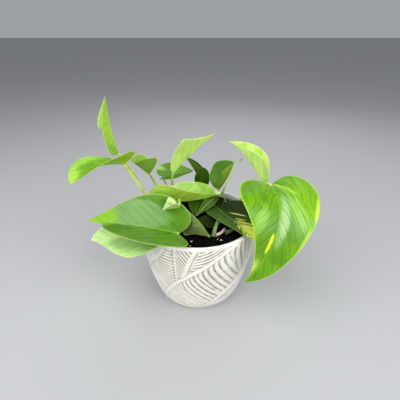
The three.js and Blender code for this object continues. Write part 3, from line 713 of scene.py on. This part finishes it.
# Main colour, lighter lines along the stem, and darker blotches
STEM_LOOKS = {
    "petiole": ((165, 188, 92), (192, 212, 126), (120, 150, 56)),
    "vine": ((82, 112, 50), (112, 140, 75), (52, 76, 30)),
    "rolled": ((140, 168, 95), (196, 212, 160), (96, 124, 60)),
    "stub": ((190, 168, 148), (212, 196, 178), (150, 122, 104)),
}


def stem_skin(name, look):
    main, light, dark = STEM_LOOKS[look]
    m = Shader(name, .42, Specular_IOR_Level=.45, Subsurface_Weight=.1, **SCATTER)
    u, v, _ = m.uv("stem")
    streaks = m.noise(m.vector(m.times(u, 9), m.times(v, .8)), 2.2, 2)
    blotch = m.noise(m.position(), 140, 3)
    base = m.mix(m.step(streaks, .38, .62), main, light)
    base = m.mix(m.step(blotch, .5, .72, 0, .6), base, dark)
    base = m.mix(m.step(v, 0, .16, .7, 0), base, dark)
    m.colour(base)
    m.bump(m.plus(streaks, m.times(blotch, .3)), .25)
    return m.material


def make_stem(name, radius, path):
    """A petiole is led on into its leaf, and a stem that starts low is led down into the soil."""
    path = np.array(path, float)
    if name.startswith("petiole"):
        leaf = next(x for x in LEAVES if x["name"] == name.replace("petiole", "leaf"))
        base, mid, _ = np.array(leaf["midrib"], float)
        path = np.vstack([path, base + unit(mid - base) * 1.2])
    if path[0][2] < IN_SOIL:
        path = np.vstack([path[0] + (path[0] - path[1]) * .12, path])
    vertices, faces, uv = sweep(path, radius, CHANNELS.get(name, PLAIN_CHANNEL))
    obj = mesh_object(name, vertices, faces, uvs={"stem": uv}, sharp=60)
    add_piece(obj, record_slot(name), stem_skin(name, STEM_SKINS.get(name, "petiole")), node=name)


# Pot

def along_line(points, x, y):
    """For each point: length along the polyline to the nearest spot on it, and signed distance."""
    best, s_at, d_at, start = np.full(x.shape, 1e9), np.zeros(x.shape), np.zeros(x.shape), 0.0
    for (x0, y0), (x1, y1) in zip(points, points[1:]):
        dx, dy = x1 - x0, y1 - y0
        size = math.hypot(dx, dy)
        k = np.clip(((x - x0) * dx + (y - y0) * dy) / size ** 2, 0, 1)
        gap = np.hypot(x - x0 - k * dx, y - y0 - k * dy)
        near = gap < best
        best = np.where(near, gap, best)
        s_at = np.where(near, start + k * size, s_at)
        side = np.sign((x - x0) * dy - (y - y0) * dx)
        d_at = np.where(near, side * gap, d_at)
        start += size
    return s_at, d_at


# The relief, in degrees round the pot, close to mm here, and mm up its wall: the ribs of the big and the
# middle leaf, the edge of the upper left leaf, the angle where it starts and the one after which it repeats
BIG_RIB = [(-52, 4), (-48, 14), (-39, 29), (-22, 51), (-4, 67.5), (13.5, 81), (27, 91), (45, 98), (66, 103),
           (84, 104)]
SMALL_RIB = [(-14.5, 54), (-11.2, 62), (-7, 76), (-3.8, 85), (-.5, 92), (3, 102)]
TOP_EDGE = [(-62, 53), (-52, 65), (-44.5, 73), (-38, 80), (-32.5, 88.5), (-29, 99)]
RELIEF_FROM, RELIEF_REPEAT = -62, 180
RIB_LENGTH = sum(math.dist(a, b) for a, b in zip(BIG_RIB, BIG_RIB[1:]))


def lines(phase):
    """One in the middle of a groove, at whole numbers of the phase, and zero on the ridge between two."""
    return np.abs(np.cos(math.pi * phase))


def growing(v, start, first, rate):
    """Phase of lines whose gap is first at start, and widens by rate beyond it."""
    gap = np.maximum(first + rate * (v - start), first * .5)
    return np.where(v > start, np.log(np.maximum(gap, first) / first) / rate, (v - start) / first)


def fan_leaf(x, y):
    """Left leaf: fine veins that fan down to the right."""
    x = np.clip(np.where(x > 40, x - RELIEF_REPEAT, x), -70, 40) + 24
    fan = lines((y + x * np.clip((78 - y) * .015, 0, .6)) / 3.8) ** 2 * ramp(y, 12, 22)
    return -.65 * fan, .85 * fan


def upper_leaf(x, y, height, ink_and_shade):
    """Upper left leaf, with upright veins and a shade along its edge."""
    _, gap = along_line(TOP_EDGE, x, y)
    inside = (gap < 0) & (x < -28)
    veins = lines((x - .12 * (y - 80)) / 2.9) ** 2.5 * ramp(-gap, 1.4, 2.6)
    height = np.where(inside, .3 - .6 * veins, height)
    ink_and_shade = np.where(inside, .62 * veins, ink_and_shade)
    shade = bell(gap - .9, 1.2) * (x < -28)
    return height - .35 * shade, np.maximum(ink_and_shade, .5 * shade)


def middle_leaf(x, y, height, ink_and_shade):
    """Middle leaf, with a broad rib, and a ridge and a seam down its left edge."""
    _, d = along_line(SMALL_RIB, x, y)
    inside = (x > -21.9) & (x < 60) & (y > 48)
    left = lines(growing(y + 1.5 * (x + 20), 58, 3.2, .06)) ** 2.2 * ramp(-d, 3.8, 4.8)
    right = lines((y - .2 * (x + 4) - .009 * (x + 4) ** 2) / 3.4) ** 2.2 * ramp(d, .8, 1.8)
    veins = np.where(d < 0, left, right)
    band = bell(d + 2.1, 1.5, 4)
    dark = bell(d, .75)
    height = np.where(inside, .12 - .75 * veins + .42 * band - .85 * dark, height)
    ink_and_shade = np.where(inside, np.maximum(.95 * veins, .8 * dark), ink_and_shade)
    seam = bell(x + 22.9, .75) * (y > 48)
    ridge = bell(x + 21.3, .8) * (y > 48)
    return height * (1 - ridge) + .3 * ridge - .8 * seam, np.maximum(ink_and_shade * (1 - ridge), .75 * seam)


def big_leaf(x, y, height, ink_and_shade):
    """Big leaf below its rib: rounded ridges side by side, inside a plain margin."""
    s, d = along_line(BIG_RIB, x, y)
    flow = s - 8 * np.exp(-np.maximum(d, 0) / 6) - 1.2 * ramp(d, 28, 46)
    groove = lines(growing(flow, 30, 4, .036))
    reach = 48 * ramp(s, -6, 40) * np.sqrt(1 - np.clip((s - 136) / (RIB_LENGTH - 136), 0, .999) ** 2)
    round_end = 1.7 * groove
    inner = ramp(d - round_end, 1.2, 2.6) * ramp(reach - d - round_end, .2, 1.8)
    deep = .45 + .55 * ramp(s, 40, 75)
    cushion = (1 - groove ** 2.2) * inner
    big = -1.25 * deep * (1 - cushion) + .3
    # Painted shade: the grooves, the edge and the line behind the rib are painted grey as well as cut in
    big_ink_and_shade = (groove ** 3.5 * inner + .75 * (1 - inner) * (groove > .25)) * (.45 + .4 * deep)
    rib = bell(d, 1.9 - .5 * ramp(s, 70, 120), 4)
    big, big_ink_and_shade = big * (1 - rib) + .85 * rib, big_ink_and_shade * (1 - rib)
    margin = ramp(d - reach, -.2, .5)
    big, big_ink_and_shade = big * (1 - margin) + .3 * margin, big_ink_and_shade * (1 - margin)
    big_ink_and_shade = big_ink_and_shade * (1 - .25 * ramp(x, 15, 55))
    edge = bell(d - reach - 4.4, .5)
    over = (d > -2.4) & (d < reach + 4.6) & (s > .5) & (s < RIB_LENGTH - .2)
    height = np.where(over, big - .4 * edge, height)
    ink_and_shade = np.where(over, big_ink_and_shade + .35 * edge, ink_and_shade)
    behind = bell(d + 2.5, .55) * (s > .5) * (s < RIB_LENGTH - .2)
    return height - .5 * behind, np.maximum(ink_and_shade, .3 * behind)


def relief(x, y):
    """Height of the leaf relief in mm, and how dark its grooves are painted: partly the darker colour that
    sits in them, partly painted shade. The foot and the rim stay plain.
    """
    x = (x - RELIEF_FROM) % RELIEF_REPEAT + RELIEF_FROM
    height, ink_and_shade = fan_leaf(x, y)
    for leaf in (upper_leaf, middle_leaf, big_leaf):
        height, ink_and_shade = leaf(x, y, height, ink_and_shade)
    keep = ramp(y, 5, 10) * (1 - ramp(y, 94, 95.4))
    return height * keep, ink_and_shade * keep


def make_pot():
    # The outer wall, in even steps up it, with the relief laid on along its normal
    outer = spline(OUTSIDE, np.linspace(0, 1, 600))
    run = np.concatenate([[0], np.cumsum(np.linalg.norm(np.diff(outer, axis=0), axis=1))])
    up = np.linspace(0, run[-1], POT_ROWS)
    r, z = (np.interp(up, run, outer[:, i]) for i in (0, 1))
    angle = np.linspace(-math.pi, math.pi, POT_COLUMNS, endpoint=False)
    height, ink_and_shade = relief(np.degrees(angle)[None, :], up[:, None])
    normal = unit(np.stack([np.gradient(z), -np.gradient(r)], -1))
    wall_r = r[:, None] + height * normal[:, :1]
    wall_z = z[:, None] + height * normal[:, 1:]
    # Rings from under the pot, up the wall, over the lip and down to the floor inside
    lip = [(LIP_AT[0] + LIP_SIZE[0] * math.cos(a), LIP_AT[1] + LIP_SIZE[1] * math.sin(a))
           for a in np.radians(LIP_ANGLES)]
    banded = [(INSIDE[0][0] + (h - INSIDE[0][1]) / INSIDE_RISE, h) for _, h in INSIDE_SHADOW_BANDS]
    inner = spline(INSIDE, np.linspace(0, 1, 8)).tolist()
    rings = [(radius, 0.) for radius in UNDERSIDE_RADII]
    first_wall = len(rings)
    rings += list(zip(wall_r, wall_z)) + lip
    first_band = len(rings)
    rings += banded + inner + [(FLOOR_RADIUS, FLOOR_HEIGHT)]
    points = [np.stack([a * np.sin(angle), -a * np.cos(angle), b + 0 * angle], -1) for a, b in rings]
    level = np.zeros((len(rings), POT_COLUMNS))
    level[first_wall:first_wall + POT_ROWS] = ink_and_shade
    # Painted shadow lines under the lip, on the inner wall above the soil
    level[first_band:first_band + len(banded)] = np.array([dark for dark, _ in INSIDE_SHADOW_BANDS])[:, None]
    vertices = np.concatenate(points + [[(0, 0, 0), (0, 0, FLOOR_HEIGHT)]])
    obj = mesh_object("pot", vertices, ring_faces(*level.shape),
                      attributes={"ink_and_shade": np.append(level.ravel(), [0, 0])})
    add_piece(obj, "ceramic", ceramic(), node="pot")


def ceramic():
    m = Shader("ceramic", Specular_IOR_Level=.4)
    place = m.position()
    cloud = m.noise(place, 60, 3)
    drawn = m.node("ShaderNodeAttribute", attribute_name="ink_and_shade", out="Fac")
    # Darkens the relief's grooves, partly with their own taupe colour and partly as painted shade, and paints
    # the shadow lines inside the lip
    ink_and_shade = m.times(drawn, m.step(m.noise(place, 160, 3), .25, .65, .7, 1.1))
    base = m.mix(m.step(cloud, .3, .7), (226, 225, 217), (218, 215, 206))
    base = m.mix(m.step(ink_and_shade, .1, 1), base, (136, 124, 106))
    m.colour(base)
    m.bump(m.plus(m.noise(place, 900, 2), m.times(cloud, .6)), .06)
    m.rough(m.step(m.noise(place, 300, 2), .3, .7, .42, .6))
    return m.material


# Soil

def value_noise(x, y, seed, size=64):
    """Smooth noise from 0 to 1 on a square grid of random values that repeats after size steps."""
    table = np.random.default_rng(seed).random((size, size))
    xi, yi = np.floor(x).astype(int), np.floor(y).astype(int)
    fx, fy = ramp(x - xi, 0, 1), ramp(y - yi, 0, 1)
    a, b = table[xi % size, yi % size], table[(xi + 1) % size, yi % size]
    c, d = table[xi % size, (yi + 1) % size], table[(xi + 1) % size, (yi + 1) % size]
    return (a * (1 - fx) + b * fx) * (1 - fy) + (c * (1 - fx) + d * fx) * fy


def soil_height(x, y):
    """The uneven top of the soil: clods of 9 mm, lumps of 3.3 mm and crumbs of 1.3 mm."""
    return SOIL_TOP + .9 * value_noise(x / 9, y / 9, 1) + .7 * value_noise(x / 3.3, y / 3.3, 2) \
        + .5 * value_noise(x / 1.3, y / 1.3, 3) - .6


def make_soil():
    angle = np.linspace(0, 2 * math.pi, SOIL_COLUMNS, endpoint=False)
    radius = np.linspace(*SOIL_RADII, SOIL_RINGS)
    x, y = radius[:, None] * np.cos(angle), radius[:, None] * np.sin(angle)
    z = soil_height(x, y)
    walls = [np.stack([r * np.cos(angle), r * np.sin(angle), h + 0 * angle], -1) for r, h in SOIL_SIDE]
    grid = np.concatenate([np.stack([x, y, z], -1), walls])
    vertices = np.concatenate([grid.reshape(-1, 3), [(0, 0, float(z[0].mean())), (0, 0, SOIL_SIDE[-1][1])]])
    # Its rings go outwards and down, so the faces are turned over
    faces = [face[:1] + face[:0:-1] for face in ring_faces(len(grid), SOIL_COLUMNS)]
    obj = mesh_object("soil", vertices, faces)
    m = Shader("potting_soil", .95, Specular_IOR_Level=.04)
    grain = m.noise(m.position(), 700, 3, .7)
    m.colour(m.mix(m.step(grain, .35, .7), (6, 5, 4), (17, 13, 11)))
    m.bump(grain, .8)
    add_piece(obj, "potting_soil", m.material, node="soil")


def lumps(name, spots, material, seed):
    """Small rough lumps lying in the soil, all one piece. A spot is a place and a size."""
    rng = random.Random(seed)
    bm = bmesh.new()
    bmesh.ops.create_icosphere(bm, subdivisions=1, radius=1)
    shape = np.array([v.co[:] for v in bm.verts])
    triangles = [[v.index for v in f.verts] for f in bm.faces]
    bm.free()
    vertices, faces = [], []
    for x, y, size in spots:
        stretch = np.array([rng.uniform(.7, 1.3), rng.uniform(.7, 1.3), rng.uniform(.5, .9)])
        jitter = np.array([[rng.uniform(.72, 1.2)] for _ in shape])
        turn = rng.uniform(0, 6.28)
        p = shape * jitter * stretch * size
        p = np.stack([p[:, 0] * math.cos(turn) - p[:, 1] * math.sin(turn),
                      p[:, 0] * math.sin(turn) + p[:, 1] * math.cos(turn), p[:, 2]], -1)
        z = float(soil_height(np.array([x]), np.array([y]))[0]) + size * .15
        faces += [[i + len(vertices) for i in triangle] for triangle in triangles]
        vertices += (p + (x, y, z)).tolist()
    add_piece(mesh_object(name, vertices, faces, sharp=30), "potting_soil", material)


# White grains that show in front: place and size in mm
PERLITE_SHOWN = [(-5, -14, 1.5), (34, -38, .6), (38, -36, .6), (30, -43, .5), (-6, -39, .9)]


def make_crumbs():
    rng = random.Random(5)

    def spot(low, high):
        a, r = rng.uniform(0, 6.283), 54 * math.sqrt(rng.random())
        return r * math.cos(a), r * math.sin(a), rng.uniform(low, high)

    m = Shader("soil_crumbs", .95, Specular_IOR_Level=.04)
    place = m.position()
    m.colour(m.mix(m.step(m.noise(place, 90, 2), .4, .6), (8, 6, 5), (26, 20, 16)))
    m.bump(m.noise(place, 1500, 2), .3)
    lumps("soil_crumbs", [spot(.5, 1.7) for _ in range(700)], m.material, 6)
    m = Shader("perlite", .8)
    m.colour(m.mix(m.noise(m.position(), 500, 2), (226, 222, 212), (190, 184, 172)))
    lumps("perlite", PERLITE_SHOWN + [spot(.4, 1.2) for _ in range(26)], m.material, 7)


# Stage

FLOOR_HALF = 6.0  # metres
# Each light: name, where it is and what it points at in mm, its width in metres and its power in watts
LIGHTS = [
    ("key", (-250, -260, 800), (-20, -20, 100), .7, 3.5),
    ("right", (480, -620, 620), (50, -40, 90), .6, 3.5),
    ("front left", (-760, -640, 420), (0, 0, 60), 1, 8),
    ("front right", (760, -640, 400), (0, 0, 60), 1, 5.6),
    ("back", (150, 600, 600), (0, 0, 110), .6, 1.5),
]


def make_stage():
    mesh = bpy.data.meshes.new("floor")
    corners = [(-1, -1), (1, -1), (1, 1), (-1, 1)]
    mesh.from_pydata([(x * FLOOR_HALF, y * FLOOR_HALF, 0) for x, y in corners], [], [(0, 1, 2, 3)])
    floor = add_object("floor", mesh)
    m = Shader("floor", .8, Base_Color=linear((176, 177, 179)))
    floor.data.materials.append(m.material)
    world = bpy.data.worlds.new("studio")
    world.use_nodes = True
    background = world.node_tree.nodes["Background"]
    background.inputs["Color"].default_value = linear((226, 229, 233))
    background.inputs["Strength"].default_value = .45
    bpy.context.scene.world = world
    for name, at, aim, width, power in LIGHTS:
        data = bpy.data.lights.new(name, "AREA")
        data.size, data.energy = width, power
        light = add_object(name, data)
        light.location = np.array(at) * MM
        way = np.subtract(aim, at)
        tilt, turn = math.atan2(math.hypot(way[0], way[1]), -way[2]), math.atan2(-way[0], way[1])
        light.rotation_euler = (tilt, 0, turn)


def make_camera():
    data = bpy.data.cameras.new("camera")
    data.lens, data.sensor_width, data.sensor_fit = LENS, SENSOR, "HORIZONTAL"
    data.clip_start, data.clip_end = .01, 20
    camera = add_object("camera", data)
    camera.location = np.array(CAMERA_AT) * MM
    camera.rotation_euler = (math.radians(90 - CAMERA_PITCH), 0, 0)
    bpy.context.scene.camera = camera


make_camera()
make_stage()
make_pot()
make_soil()
make_crumbs()
for leaf in LEAVES:
    make_leaf(leaf)
for name, (*radius, path) in STEMS.items():
    make_stem(name, radius, path)
bpy.context.scene.view_settings.view_transform = "Standard"
